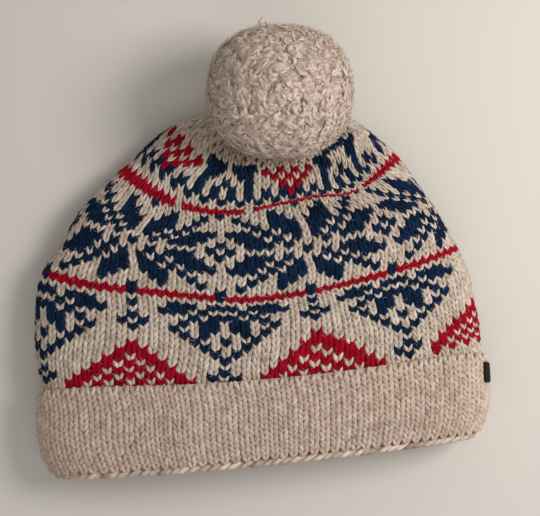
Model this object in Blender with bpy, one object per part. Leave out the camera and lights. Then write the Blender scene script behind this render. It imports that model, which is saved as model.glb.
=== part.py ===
"""Knitted fair isle beanie with a turned-up cuff and a wool pompom, lying on its back.

The frame has +Z up and the hat rests on z = 0. The mouth faces -Y, the closed top +Y, and the
front of the hat faces up. Each knitted piece is a wall lofted through rings, one ring for a
course of the knitting. Lengths in the tables are in millimetres.
"""
import bmesh
import bpy
import numpy as np

MM = 0.001

# Walls and gaps
CROWN_WALL = 3.5
CUFF_WALL = 4.0
GAP = 0.3

# Courses, counted up from the lower red line
RIM_COURSE = -30.0
INSIDE_TOP_COURSE = 26.0
APEX_COURSE = 32.0
CUFF_TOP_AT_SIDES = -17.6
CUFF_TOP_AT_MIDDLE = -14.4

# Mesh density
POINTS_ROUND = 56
CROWN_RINGS = 23
INSIDE_RINGS = 16
CUFF_RINGS = 6
RIDGE_POINTS = 8

# Cross-section of a ring: 2 is an ellipse, more is squarer
LEFT_FULLNESS = 2.1
RIGHT_FULLNESS = 3.0
UNDER_FULLNESS = 4.0
UNDER_PRESS = 1.15
BOW_POWER = 2.0

# Turned edge at the bottom of the cuff
RIDGE_HEIGHT = 5.2
RIDGE_ROUND = 0.62

# Pompom
POMPOM_CENTRE = (4.8, 80.4, 42.4)
POMPOM_RADII = (36.0, 33.9, 33.0)
LOCK_DEPTH = 2.8
LOCK_LEAN = 0.045
POMPOM_LEVEL = 4
SEAT_GAP = 0.55

# Side tab, a folded strip sewn over the cuff's right-hand edge
TAB_LENGTH = (0.66, 0.91)
TAB_TURN = (164.0, 196.0)
TAB_THICK = 1.1
TAB_SEAT = 0.55

# One row for a course: the ring's two side points, the front's middle, and its heights
CROWN_SECTIONS = (
    # course, x_left, y_left, x_right, y_right, y_middle, top, side, underside
    (-30.0, -107.0, -106.0, 104.0, -84.5, -96.5, 35.5, 15.0, 4.3),
    (-27.0, -110.5, -98.0, 106.5, -76.5, -89.0, 36.5, 15.5, 4.3),
    (-24.0, -112.0, -88.5, 107.5, -69.0, -82.0, 37.0, 16.0, 4.3),
    (-20.0, -112.5, -75.5, 107.5, -57.5, -72.5, 37.0, 16.0, 4.3),
    (-16.0, -115.0, -61.5, 107.0, -44.5, -63.0, 37.5, 15.0, 4.0),
    (-12.0, -118.0, -47.5, 106.0, -31.5, -53.0, 38.5, 13.5, 1.2),
    (-8.0, -118.0, -33.0, 103.5, -19.5, -42.0, 38.5, 12.5, 0.0),
    (-4.0, -117.5, -19.5, 100.5, -6.5, -31.0, 37.0, 12.0, 0.0),
    (0.0, -113.5, -5.0, 96.0, 5.0, -20.5, 36.5, 12.0, 0.0),
    (4.0, -105.5, 6.5, 90.5, 15.5, -9.5, 38.5, 12.0, 0.0),
    (8.0, -98.5, 22.0, 84.0, 26.5, 1.0, 38.5, 11.5, 0.0),
    (12.0, -87.5, 35.5, 76.0, 38.5, 11.5, 36.0, 11.0, 0.0),
    (16.0, -74.5, 48.5, 68.0, 50.5, 22.5, 32.5, 10.0, 0.0),
    (20.0, -61.5, 60.5, 59.5, 61.0, 33.0, 31.5, 8.5, 0.0),
    (24.0, -45.5, 69.5, 47.5, 69.5, 44.0, 26.0, 7.0, 0.0),
    (28.0, -26.5, 74.0, 33.0, 74.0, 56.0, 18.0, 5.5, 0.0),
    (31.0, -7.5, 76.0, 16.0, 75.5, 67.0, 11.5, 4.8, 0.8),
    (32.0, 1.0, 76.5, 8.5, 76.5, 74.0, 8.5, 4.6, 2.2),
)

# One row for a dent or fold of the front
FOLDS = (
    # x, y, half_length, half_width, turn_degrees, depth
    (18.0, 27.0, 64.0, 4.5, 4.0, 3.4),
    (-34.0, 18.0, 24.0, 6.0, -14.0, 2.8),
    (2.0, -25.0, 46.0, 6.5, 0.0, 1.8),
    (-98.0, 8.0, 20.0, 5.0, -32.0, 3.0),
    (62.0, -8.0, 20.0, 7.0, 62.0, 1.6),
    (-62.0, -52.0, 26.0, 6.0, 8.0, 1.2),
)


def through(knots, values, where):
    """Smooth curve through table rows: cubic pieces whose slopes come from the rows beside."""
    slopes = np.gradient(values, knots, axis=0)
    low = np.clip(np.searchsorted(knots, where, side="right") - 1, 0, len(knots) - 2)
    step = (knots[low + 1] - knots[low])[..., None]
    part = (where - knots[low])[..., None] / step
    rest = 1.0 - part
    ends = values[low] * (1 + 2 * part) * rest**2 + values[low + 1] * (1 + 2 * rest) * part**2
    return ends + step * part * rest * (slopes[low] * rest - slopes[low + 1] * part)


def ball_underside(x, y):
    """Height of the pompom's lower half over a place, or a large height outside its outline."""
    span = ((x - POMPOM_CENTRE[0]) / POMPOM_RADII[0])**2 + ((y - POMPOM_CENTRE[1]) / POMPOM_RADII[1])**2
    drop = POMPOM_RADII[2] * np.sqrt(np.clip(1.0 - span, 0.0, 1.0))
    return np.where(span < 1.0, POMPOM_CENTRE[2] - drop, 1000.0)


def crown_skin(course, turn):
    """Outer face of the crown at a course and a turn in radians (0 left side, 90 degrees front).

    Across, a ring is a superellipse with a flat bottom. Along, it bows towards the mouth as a
    parabola does. The folds sink the front, and the pompom presses it down where it leans.
    """
    course, turn = np.broadcast_arrays(np.asarray(course, float), np.asarray(turn, float))
    table = np.array(CROWN_SECTIONS)
    row = np.moveaxis(through(table[:, 0], table[:, 1:], course), -1, 0)
    x_left, y_left, x_right, y_right, y_middle, top, side, under = row
    across = -np.cos(turn)
    front = np.sin(turn) > 0
    full = np.where(front, np.where(across < 0, LEFT_FULLNESS, RIGHT_FULLNESS), UNDER_FULLNESS)
    arch = (1.0 - np.minimum(np.abs(across), 1.0)**full)**(1.0 / full)
    x = 0.5 * (x_left + x_right) + 0.5 * (x_right - x_left) * across
    bow = 0.5 * (y_left + y_right) - y_middle
    y = 0.5 * (y_left + y_right) + 0.5 * (y_right - y_left) * across
    y = y - bow * (1.0 - np.abs(across)**BOW_POWER)
    above = side + (top - side) * arch
    for fold_x, fold_y, length, width, degrees, depth in FOLDS:
        angle = np.radians(degrees)
        along = ((x - fold_x) * np.cos(angle) + (y - fold_y) * np.sin(angle)) / length
        aside = ((y - fold_y) * np.cos(angle) - (x - fold_x) * np.sin(angle)) / width
        above = above - depth * arch * np.exp(-along**2 - aside**2)
    above = np.minimum(above, np.maximum(ball_underside(x, y) - SEAT_GAP, side))
    below = np.maximum(np.maximum(under, 0.0), side - UNDER_PRESS * (side - under) * arch)
    return np.stack([x, y, np.where(front, above, below)], axis=-1)


def skin_frame(course, turn):
    """Outward normal of the crown's outer face and its direction up the hat, by small steps."""
    round_way = crown_skin(course, turn + 0.01) - crown_skin(course, turn - 0.01)
    up_way = crown_skin(course + 0.1, turn) - crown_skin(course - 0.1, turn)
    normal = np.cross(round_way, up_way)
    normal /= np.linalg.norm(normal, axis=-1, keepdims=True)
    up_way /= np.linalg.norm(up_way, axis=-1, keepdims=True)
    return normal, up_way


def turns_round():
    """Turns of the points of a ring, closer together at the two sides, where it bends most."""
    even = (np.arange(POINTS_ROUND) + 0.5) * 2.0 * np.pi / POINTS_ROUND
    return even - 0.30 * np.sin(2.0 * even)


def wall_material(name, colour, roughness):
    """Matte yarn or cloth."""
    material = bpy.data.materials.new(name)
    material.use_nodes = True
    shader = material.node_tree.nodes["Principled BSDF"]
    shader.inputs["Base Color"].default_value = (*colour, 1.0)
    shader.inputs["Roughness"].default_value = roughness
    shader.inputs["Metallic"].default_value = 0.0
    return material


def add_object(name, points, faces, material):
    """One closed body from points in millimetres, with every face turned outwards."""
    mesh = bpy.data.meshes.new(name)
    mesh.from_pydata((np.asarray(points) * MM).tolist(), [], faces)
    body = bmesh.new()
    body.from_mesh(mesh)
    bmesh.ops.triangulate(body, faces=body.faces)
    bmesh.ops.recalc_face_normals(body, faces=body.faces)
    if body.calc_volume(signed=True) < 0:
        bmesh.ops.reverse_faces(body, faces=body.faces)
    body.to_mesh(mesh)
    body.free()
    mesh.materials.append(material)
    item = bpy.data.objects.new(name, mesh)
    bpy.context.collection.objects.link(item)
    return item


def loft(name, rings, material, poles=None):
    """A body through rings of equal count: a closed loop of rings, or a stack with two poles."""
    count, width = len(rings), rings[0].shape[0]
    points = np.concatenate(rings)
    last = count if poles is None else count - 1
    faces = []
    for ring in range(last):
        low, high = ring * width, (ring + 1) % count * width
        for place in range(width):
            after = (place + 1) % width
            faces.append((low + place, low + after, high + after, high + place))
    if poles is not None:
        first, end = count * width, count * width + 1
        points = np.concatenate([points, np.array(poles)])
        for place in range(width):
            after = (place + 1) % width
            faces.append((first, after, place))
            faces.append((end, (count - 1) * width + place, (count - 1) * width + after))
    return add_object(name, points, faces, material)


def build_crown(material):
    """Hollow crown: the outer face from the apex down to the rim, and the inner face back up."""
    turns = turns_round()
    outer_courses = np.linspace(APEX_COURSE, RIM_COURSE, CROWN_RINGS)
    inner_courses = np.linspace(RIM_COURSE, INSIDE_TOP_COURSE, INSIDE_RINGS)
    rings = [crown_skin(course, turns) for course in outer_courses]
    for course in inner_courses:
        normal, _ = skin_frame(course, turns)
        rings.append(crown_skin(course, turns) - CROWN_WALL * normal)
    return loft("crown", rings, material, (rings[0].mean(axis=0), rings[-1].mean(axis=0)))


def cuff_course(part, turns):
    """Course under a height of the cuff: its top edge runs straighter than the courses do."""
    lift = np.clip(np.sin(turns), 0.0, 1.0)
    top = CUFF_TOP_AT_SIDES + (CUFF_TOP_AT_MIDDLE - CUFF_TOP_AT_SIDES) * lift
    return RIM_COURSE + (top - RIM_COURSE) * part


def cuff_face(part, turns, proud):
    """The crown's skin moved out by a distance, and no lower than the surface it lies on."""
    course = cuff_course(part, turns)
    normal, _ = skin_frame(course, turns)
    face = crown_skin(course, turns) + np.asarray(proud)[..., None] * normal
    face[..., 2] = np.maximum(face[..., 2], 0.0)
    return face


def build_cuff(material):
    """Turned-up cuff: a sleeve round the crown, a little fuller at its middle height."""
    turns = turns_round()
    heights = np.linspace(0.0, 1.0, CUFF_RINGS)
    outer = [cuff_face(part, turns, GAP + CUFF_WALL * (0.88 + 0.12 * np.sin(np.pi * part)))
             for part in heights]
    inner = [cuff_face(part, turns, GAP) for part in heights[::-1]]
    return loft("cuff", outer + inner, material)


def build_ridge(material):
    """Turned edge: a rounded band that closes the two layers at the mouth."""
    turns = turns_round()
    rim = crown_skin(RIM_COURSE, turns)
    normal, up_way = skin_frame(np.full(POINTS_ROUND, RIM_COURSE), turns)
    half_wide = 0.5 * (CROWN_WALL + GAP + 0.88 * CUFF_WALL)
    middle = half_wide - CROWN_WALL
    rings = []
    for step in range(RIDGE_POINTS):
        angle = 2.0 * np.pi * (step + 0.5) / RIDGE_POINTS
        wide = np.sign(np.cos(angle)) * np.abs(np.cos(angle))**RIDGE_ROUND
        high = np.sign(np.sin(angle)) * np.abs(np.sin(angle))**RIDGE_ROUND
        ring = rim + (middle + half_wide * wide) * normal
        ring = ring - (GAP + 0.5 * RIDGE_HEIGHT * (1.0 - high)) * up_way
        ring[:, 2] = np.maximum(ring[:, 2], 0.0)
        rings.append(ring)
    return loft("edge_ridge", rings, material)


def build_tab(material):
    """Side tab: a patch of the cuff's face at its right-hand edge, thickened outwards."""
    heights = np.linspace(*TAB_LENGTH, 5)
    turns = np.radians(np.linspace(*TAB_TURN, 7))
    cuff_bulge = GAP + CUFF_WALL * (0.88 + 0.12 * np.sin(np.pi * heights))
    layers = []
    for proud in (TAB_SEAT, TAB_SEAT + TAB_THICK):
        layers.append(np.stack([cuff_face(part, turns, bulge + proud)
                                for part, bulge in zip(heights, cuff_bulge)]))
    rows, columns = layers[0].shape[:2]
    points = np.concatenate([layer.reshape(-1, 3) for layer in layers])
    under = rows * columns
    faces = []
    for row in range(rows - 1):
        for column in range(columns - 1):
            corner = row * columns + column
            quad = (corner, corner + 1, corner + columns + 1, corner + columns)
            faces.append(quad)
            faces.append(tuple(under + place for place in reversed(quad)))
    border = [column for column in range(columns)]
    border += [row * columns + columns - 1 for row in range(1, rows)]
    border += [(rows - 1) * columns + column for column in range(columns - 2, -1, -1)]
    border += [row * columns for row in range(rows - 2, 0, -1)]
    for place, start in enumerate(border):
        end = border[(place + 1) % len(border)]
        faces.append((start, under + start, under + end, end))
    return add_object("side_tab", points, faces, material)


def build_pompom(material):
    """Pompom: a round head whose corners stand out as curled locks, with hollows between them."""
    coarse = bmesh.new()
    bmesh.ops.create_icosphere(coarse, subdivisions=POMPOM_LEVEL - 1, radius=1.0)
    tips = np.array([corner.co[:] for corner in coarse.verts])
    coarse.free()
    ball = bmesh.new()
    bmesh.ops.create_icosphere(ball, subdivisions=POMPOM_LEVEL, radius=1.0)
    ball.verts.ensure_lookup_table()
    ways = np.array([corner.co[:] for corner in ball.verts])
    ways /= np.linalg.norm(ways, axis=1, keepdims=True)
    faces = [[corner.index for corner in face.verts] for face in ball.faces]
    ball.free()
    tips /= np.linalg.norm(tips, axis=1, keepdims=True)
    is_tip = (ways @ tips.T).max(axis=1) > 0.99999
    curl = np.stack([np.sin(9.0 * ways[:, 1]), np.sin(8.0 * ways[:, 2] + 1.0), np.sin(10.0 * ways[:, 0])], 1)
    leaned = ways + LOCK_LEAN * curl * is_tip[:, None]
    leaned /= np.linalg.norm(leaned, axis=1, keepdims=True)
    reach = np.where(is_tip, 1.0, 1.0 - LOCK_DEPTH / POMPOM_RADII[0])
    points = np.array(POMPOM_CENTRE) + leaned * reach[:, None] * np.array(POMPOM_RADII)
    return add_object("pompom", points, faces, material)


def centre_on_floor(items):
    """Move every piece so that the origin is below the middle of the whole hat's box."""
    places = np.concatenate([[corner.co[:] for corner in item.data.vertices] for item in items])
    low, high = places.min(axis=0), places.max(axis=0)
    shift = np.array([-(low[0] + high[0]) / 2, -(low[1] + high[1]) / 2, -low[2]])
    for item in items:
        for corner in item.data.vertices:
            corner.co = np.array(corner.co) + shift
    print("frame shift in mm", (shift / MM).round(3), "box in mm", ((high - low) / MM).round(2))


def main():
    for item in list(bpy.data.objects):
        bpy.data.objects.remove(item, do_unlink=True)
    patterned = wall_material("patterned_wool", (0.36, 0.27, 0.25), 0.95)
    cream = wall_material("cream_wool", (0.60, 0.52, 0.43), 0.95)
    soft = wall_material("pompom_wool", (0.62, 0.54, 0.45), 1.0)
    tape = wall_material("black_tape", (0.02, 0.02, 0.02), 0.8)
    items = [build_crown(patterned), build_cuff(cream), build_ridge(cream), build_pompom(soft), build_tab(tape)]
    centre_on_floor(items)


main()
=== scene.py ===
"""Knitted fair isle beanie with a wool pompom, lying on its back on a pale floor.

Every stitch is two legs of yarn set on the crown's own surface, coloured by a charted repeat.
Lengths are in millimetres up to the point where a mesh is written, in the frame of the tables.
"""

import bpy
import numpy as np
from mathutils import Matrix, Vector


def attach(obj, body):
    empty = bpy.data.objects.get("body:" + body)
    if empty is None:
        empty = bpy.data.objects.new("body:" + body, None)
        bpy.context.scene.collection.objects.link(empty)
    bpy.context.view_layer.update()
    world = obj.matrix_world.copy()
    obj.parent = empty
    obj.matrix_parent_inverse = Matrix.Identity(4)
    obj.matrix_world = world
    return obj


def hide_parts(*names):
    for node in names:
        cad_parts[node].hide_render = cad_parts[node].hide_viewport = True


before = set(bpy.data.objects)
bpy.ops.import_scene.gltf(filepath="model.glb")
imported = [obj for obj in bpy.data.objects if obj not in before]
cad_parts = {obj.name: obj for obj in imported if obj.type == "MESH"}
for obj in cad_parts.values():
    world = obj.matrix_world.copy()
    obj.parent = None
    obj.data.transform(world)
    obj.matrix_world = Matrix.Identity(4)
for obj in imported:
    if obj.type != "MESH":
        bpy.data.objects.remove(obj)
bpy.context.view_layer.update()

MM = 0.001
TAU = 2.0 * np.pi

# Walls and gaps of the hat, and the cuff's thickness as shares: at its edges, and its swell between
CROWN_WALL = 3.5
CUFF_WALL = 4.0
CUFF_EDGE = 0.88
CUFF_SWELL = 0.12
GAP = 0.3

# Courses, counted up from the lower red line
RIM_COURSE = -30.0
INSIDE_TOP_COURSE = 26.0
APEX_COURSE = 32.0
CUFF_TOP_AT_SIDES = -17.6
CUFF_TOP_AT_MIDDLE = -14.4

# Cross-section of a ring: 2 is an ellipse, more is squarer
LEFT_FULLNESS = 2.1
RIGHT_FULLNESS = 3.0
UNDER_FULLNESS = 4.0
UNDER_PRESS = 1.15
BOW_POWER = 2.0

POMPOM_CENTRE = (4.8, 80.4, 42.4)
POMPOM_RADII = (36.0, 33.9, 33.0)
SEAT_GAP = 0.55
# A height that presses nothing
FAR_ABOVE = 1000.0

# Small steps of a course, a turn in radians and a part of the cuff's height, for normals
SMALL_COURSE = 0.1
SMALL_TURN = 0.01
SMALL_PART = 0.02

# One row for a course: the ring's two side points, the front's middle, and its heights
CROWN_SECTIONS = (
    # course, x_left, y_left, x_right, y_right, y_middle, top, side, underside
    (-30.0, -107.0, -106.0, 102.3, -84.5, -96.5, 35.5, 15.0, 4.3),
    (-27.0, -110.5, -98.0, 104.7, -76.5, -89.0, 36.5, 15.5, 4.3),
    (-24.0, -112.0, -88.5, 105.5, -69.0, -82.0, 37.0, 16.0, 4.3),
    (-20.0, -112.5, -75.5, 105.5, -57.5, -72.5, 37.0, 16.0, 4.3),
    (-16.0, -115.0, -61.5, 105.0, -44.5, -63.0, 37.5, 15.0, 4.0),
    (-12.0, -118.0, -47.5, 104.0, -31.5, -53.0, 38.5, 13.5, 1.2),
    (-8.0, -118.0, -33.0, 101.5, -19.5, -42.0, 38.5, 12.5, 0.0),
    (-4.0, -117.5, -19.5, 98.8, -6.5, -31.0, 37.0, 12.0, 0.0),
    (0.0, -113.5, -5.0, 93.5, 5.0, -20.5, 36.5, 12.0, 0.0),
    (4.0, -104.5, 6.5, 87.5, 15.5, -9.5, 38.5, 12.0, 0.0),
    (8.0, -96.5, 22.0, 81.0, 26.5, 1.0, 38.5, 11.5, 0.0),
    (12.0, -84.5, 35.5, 72.5, 38.5, 11.5, 36.0, 11.0, 0.0),
    (16.0, -70.0, 48.5, 64.4, 50.5, 22.5, 32.5, 10.0, 0.0),
    (20.0, -58.0, 60.5, 52.8, 61.0, 33.0, 31.5, 8.5, 0.0),
    (24.0, -43.3, 69.5, 41.8, 69.5, 44.0, 26.0, 7.0, 0.0),
    (28.0, -25.5, 74.0, 30.5, 74.0, 56.0, 18.0, 5.5, 0.0),
    (31.0, -7.5, 76.0, 16.0, 75.5, 67.0, 11.5, 4.8, 0.8),
    (32.0, 1.0, 76.5, 8.5, 76.5, 74.0, 8.5, 4.6, 2.2),
)

# One row for a dent or fold of the front
FOLDS = (
    # x, y, half_length, half_width, turn_degrees, depth
    (18.0, 27.0, 64.0, 4.5, 4.0, 3.4),
    (-34.0, 18.0, 24.0, 6.0, -14.0, 2.8),
    (2.0, -25.0, 46.0, 6.5, 0.0, 1.8),
    (-98.0, 8.0, 20.0, 5.0, -32.0, 3.0),
    (62.0, -8.0, 20.0, 7.0, 62.0, 1.6),
    (-62.0, -52.0, 26.0, 6.0, 8.0, 1.2),
)

# Wales, counted round the hat in stitches of the lower rows
REPEAT = 18
REPEATS = 5
ROUND = REPEAT * REPEATS
# Steps of the lay's grid to a course and a wale, and samples round a ring
GRID_STEPS = 4
RING_SAMPLES = 1441
# The wave that spaces the wales: the wale where it is steepest, and what brings it to 0 at wale 0
WAVE_MIDDLE = 4.5
WAVE_START = 4.425
WALE_LAY = (
    # course, way from the left side to wale 0 along the ring, width of a wale on the front
    (-30.0, 91.0, 5.05),
    (-16.0, 99.5, 5.11),
    (-8.0, 104.5, 5.04),
    (-3.0, 102.5, 4.97),
    (2.0, 94.6, 4.88),
    (6.0, 87.1, 4.84),
    (9.0, 81.3, 4.80),
    (12.0, 71.6, 4.60),
    (16.0, 58.6, 3.99),
    (18.0, 55.5, 3.73),
    (21.0, 47.4, 3.60),
    (24.5, 33.4, 3.30),
    (28.0, 20.0, 2.30),
    (32.0, 3.0, 0.40),
)

# How far the lying cloth is drawn up, in courses, and round, in wales; a row for a course
SWAY_WALES = (-18, -13, -8, -3, 2, 7, 12, 17, 22, 27)
# Wales of the back, where nothing is drawn
STILL_WALES = (40, 60)
COURSE_SWAY = (
    # course, drawn up at each wale above
    (-16, -0.5, -0.45, 0.45, 0.65, -0.25, -0.4, 0.0, 0.9, 1.75, 1.5),
    (-12, -1.0, -0.6, 0.9, 0.6, 0.1, 0.4, 1.6, 1.15, 1.6, 0.4),
    (-8, -0.75, -0.15, 0.8, 0.65, 0.7, 1.4, 2.05, 1.05, 0.7, 0.2),
    (-4, -0.5, -0.05, 0.7, 0.75, 0.55, 1.05, 1.4, 0.9, 0.5, 0.35),
    (0, -0.6, -0.25, 0.55, 0.7, 0.2, 0.4, 0.55, 0.55, 0.2, 0.0),
    (4, -0.95, -0.25, 0.25, 0.4, 0.1, 0.15, 0.05, 0.3, 0.2, -0.3),
    (8, -0.6, -0.3, -0.1, 0.45, 0.55, 0.5, 0.55, 0.5, 0.5, 0.0),
    (12, -1.15, -1.25, -1.15, -0.4, 0.6, 1.55, 1.4, 0.5, 0.15, 0.1),
    (14, -1.4, -1.4, -1.3, -0.7, 0.15, 1.85, 2.1, 1.05, 0.35, 0.15),
    (16, -1.2, -1.35, -1.6, -1.2, -0.4, 1.65, 1.7, -0.45, -0.4, 0.05),
    (18, -0.65, -0.6, -0.95, -1.5, -0.6, 0.5, 0.05, -1.5, -0.9, 0.7),
    (20, 0.0, -0.4, -0.6, -1.4, -0.5, 1.35, 0.15, -1.75, -0.6, 1.3),
    (22, 0.4, 0.1, -0.3, -1.0, -0.2, 1.75, 0.5, -1.0, -0.7, 1.2),
    (24, 0.5, 0.45, 0.25, -0.35, 0.1, 1.6, 0.35, -0.65, -0.75, 0.8),
    (32, 0.0, 0.0, 0.0, 0.0, 0.0, 0.0, 0.0, 0.0, 0.0, 0.0),
)
WALE_SWAY = (
    # course, drawn round at each wale above
    (-30, -0.4, -0.2, 0.0, 0.0, 0.0, 0.0, 0.0, -0.3, -0.6, -0.8),
    (-16, 0.1, -0.3, 0.1, -0.45, 0.15, -0.4, -0.1, 0.0, -0.5, -1.3),
    (-12, 0.1, -0.3, 0.0, 0.0, 0.2, -0.3, 0.15, 0.0, -0.6, -1.7),
    (-4, -0.6, -0.25, 0.1, 0.05, 0.0, 0.0, -0.1, -0.65, -1.0, -1.2),
    (4, -0.6, -0.3, 0.0, 0.0, 0.1, 0.2, -0.1, -0.3, -0.65, -1.6),
    (8, 0.1, -0.1, -0.15, 0.0, 0.2, 0.1, 0.0, -0.45, -0.9, -1.9),
    (12, 1.4, 1.5, 1.05, 0.5, 0.15, 0.35, 0.3, -0.35, -2.1, -3.2),
    (16, 1.7, 1.4, 0.5, 0.0, 0.1, 0.4, 0.35, -0.4, -2.15, -3.4),
    (18, 1.0, 0.2, -0.6, -0.2, 0.0, 0.4, 0.2, -0.85, -2.1, -3.0),
    (20, 1.45, 0.9, 0.7, 0.65, 0.15, 0.4, 0.2, -0.7, -2.0, -2.8),
    (22, 1.35, 1.15, 1.6, 1.5, 0.25, 0.55, 0.1, -0.6, -1.3, -2.2),
    (32, 0.0, 0.0, 0.0, 0.0, 0.0, 0.0, 0.0, 0.0, 0.0, 0.0),
)

# Stitches in one repeat, from a course up
REPEAT_COUNTS = ((-30, 18), (16, 16), (23, 14), (24, 12), (25, 10), (26, 8), (28, 6), (29, 4), (31, 3))

# One row for a course of the pattern, from the middle of one motif to the middle of the next,
# and mirrored there; a row as long as the repeat is read straight through
CHART = (
    # course, stitches: . cream, N navy, R red
    (23, ".NNN....."),
    (22, "..NN.R.R."),
    (21, "N..N..R.R"),
    (20, ".N.N...R."),
    (19, ".N.N.N.NR"),
    (18, "N.N.N.N.N"),
    (17, "........."),
    (16, "RRRRRRRRR"),
    (15, "N........N"),
    (14, "..N...N..."),
    (13, "...N..NN.."),
    (12, "....N.NNN."),
    (11, ".NNN.N.NN."),
    (10, "..NNN.N.N."),
    (9, "N..NNN.N.."),
    (8, ".N.......N"),
    (7, "N..NNN.N.."),
    (6, "..NNN.N.N."),
    (5, ".NNN.N.NN."),
    (4, "....N.NNN."),
    (3, "...N..NN.."),
    (2, "..N...N..."),
    (1, "N........N"),
    (0, "NRRRRRRRRN"),
    (-1, ".........."),
    (-2, "NN.NNN...N"),
    (-3, "..N.NNN..."),
    (-4, "NN.N.....N"),
    (-5, ".NN.N...N."),
    (-6, ".NN..N...N"),
    (-7, "..N.N....."),
    (-8, "N..N......"),
    (-9, "..N......R"),
    (-10, ".N......RR"),
    (-11, "N......RR."),
    (-12, "......RR.R"),
    (-13, "N....RR.R."),
    (-14, ".N..RR.R.R"),
    (-15, "N..RR.R.R."),
    (-16, "...R.R.R.R"),
)
# Course, place and yarn of single stitches that differ from the chart
EXCEPTIONS = (
    (16, 3, "."), (16, 75, "."), (16, 17, "."), (24, 11, "N"), (24, 12, "N"), (24, 13, "N"),
    (-6, 27, "."), (-5, 26, "."), (-5, 28, "."), (-4, 27, "."), (-2, 27, "."), (0, 27, "R"),
    (1, 27, "."), (15, 27, "."), (19, 23, "."), (19, 24, "N"), (20, 23, "."), (20, 25, "N"), (21, 22, "."),
    (21, 24, "."), (21, 26, "."), (22, 21, "."), (22, 23, "."), (22, 25, "."), (22, 27, "."),
    (23, 13, "."), (23, 15, "."),
)
FIRST_COURSE = -21
LAST_COURSE = 31
YARNS = ".NR"
YARN_NAMES = ("cream", "navy", "red")

# The coloured yarns are drawn looser than the cream, so their legs are fuller: width, rise, length
YARN_FULLNESS = ((1.0, 0.0, 0.90), (1.22, 0.35, 1.04), (1.20, 0.30, 1.02))


def through(knots, values, where):
    """Smooth curve through table rows: cubic pieces whose slopes come from the rows beside."""
    slopes = np.gradient(values, knots, axis=0)
    low = np.clip(np.searchsorted(knots, where, side="right") - 1, 0, len(knots) - 2)
    step = (knots[low + 1] - knots[low])[..., None]
    part = (where - knots[low])[..., None] / step
    rest = 1.0 - part
    ends = values[low] * (1 + 2 * part) * rest**2 + values[low + 1] * (1 + 2 * rest) * part**2
    return ends + step * part * rest * (slopes[low] * rest - slopes[low + 1] * part)


def ball_underside(x, y):
    """Height of the pompom's lower half over a place, or a large height outside its outline."""
    span = ((x - POMPOM_CENTRE[0]) / POMPOM_RADII[0])**2
    span = span + ((y - POMPOM_CENTRE[1]) / POMPOM_RADII[1])**2
    drop = POMPOM_RADII[2] * np.sqrt(np.clip(1.0 - span, 0.0, 1.0))
    return np.where(span < 1.0, POMPOM_CENTRE[2] - drop, FAR_ABOVE)


def crown_skin(course, turn):
    """Outer face of the crown at a course and a turn in radians (0 left side, 90 degrees front).

    Across, a ring is a superellipse with a flat bottom. Along, it bows towards the mouth as a
    parabola does. The folds sink the front, and the pompom presses it down where it leans.
    """
    course, turn = np.broadcast_arrays(course, turn)
    table = np.array(CROWN_SECTIONS)
    row = np.moveaxis(through(table[:, 0], table[:, 1:], course), -1, 0)
    x_left, y_left, x_right, y_right, y_middle, top, side, under = row
    across = -np.cos(turn)
    front = np.sin(turn) > 0
    full = np.where(front, np.where(across < 0, LEFT_FULLNESS, RIGHT_FULLNESS), UNDER_FULLNESS)
    arch = (1.0 - np.minimum(np.abs(across), 1.0)**full)**(1.0 / full)
    x = 0.5 * (x_left + x_right) + 0.5 * (x_right - x_left) * across
    bow = 0.5 * (y_left + y_right) - y_middle
    y = 0.5 * (y_left + y_right) + 0.5 * (y_right - y_left) * across
    y = y - bow * (1.0 - np.abs(across)**BOW_POWER)
    above = side + (top - side) * arch
    for fold_x, fold_y, length, width, degrees, depth in FOLDS:
        angle = np.radians(degrees)
        along = ((x - fold_x) * np.cos(angle) + (y - fold_y) * np.sin(angle)) / length
        aside = ((y - fold_y) * np.cos(angle) - (x - fold_x) * np.sin(angle)) / width
        above = above - depth * arch * np.exp(-along**2 - aside**2)
    above = np.minimum(above, np.maximum(ball_underside(x, y) - SEAT_GAP, side))
    below = np.maximum(np.maximum(under, 0.0), side - UNDER_PRESS * (side - under) * arch)
    return np.stack([x, y, np.where(front, above, below)], axis=-1)


def unit_vectors(ways):
    """Vectors scaled to length one."""
    return ways / np.maximum(np.linalg.norm(ways, axis=-1, keepdims=True), 1e-9)


def normals_of(surface, first, second, first_step, second_step):
    """Outward unit normals of a surface of two parameters, from small steps along each."""
    one = surface(first + first_step, second) - surface(first - first_step, second)
    two = surface(first, second + second_step) - surface(first, second - second_step)
    return unit_vectors(np.cross(two, one))


def crown_normal(course, turn):
    """Outward normal of the crown's skin at a course and a turn."""
    return normals_of(crown_skin, course, turn, SMALL_COURSE, SMALL_TURN)


def round_turns(count):
    """Even turns once round, in radians, without the last one that closes the ring."""
    return np.linspace(0.0, TAU, count, endpoint=False)


def sway_grid(table, courses, wales):
    """A sway table spread over all courses and wales: smooth through its rows, then its columns."""
    table = np.array(table)
    rows = through(table[:, 0], table[:, 1:], np.clip(courses, table[0, 0], table[-1, 0] - 0.01))
    rows = np.pad(rows, ((0, 0), (0, len(STILL_WALES))))
    knots = np.array([SWAY_WALES + STILL_WALES], float) + ROUND * np.arange(-1, 2)[:, None]
    return through(knots.ravel(), np.tile(rows, 3).T, wales).T


def on_grid(value, knots):
    """The grid line below a value, and how far past it the value lies, in steps."""
    place = np.clip((value - knots[0]) * GRID_STEPS, 0, len(knots) - 1.001)
    low = place.astype(int)
    return low, place - low


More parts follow.
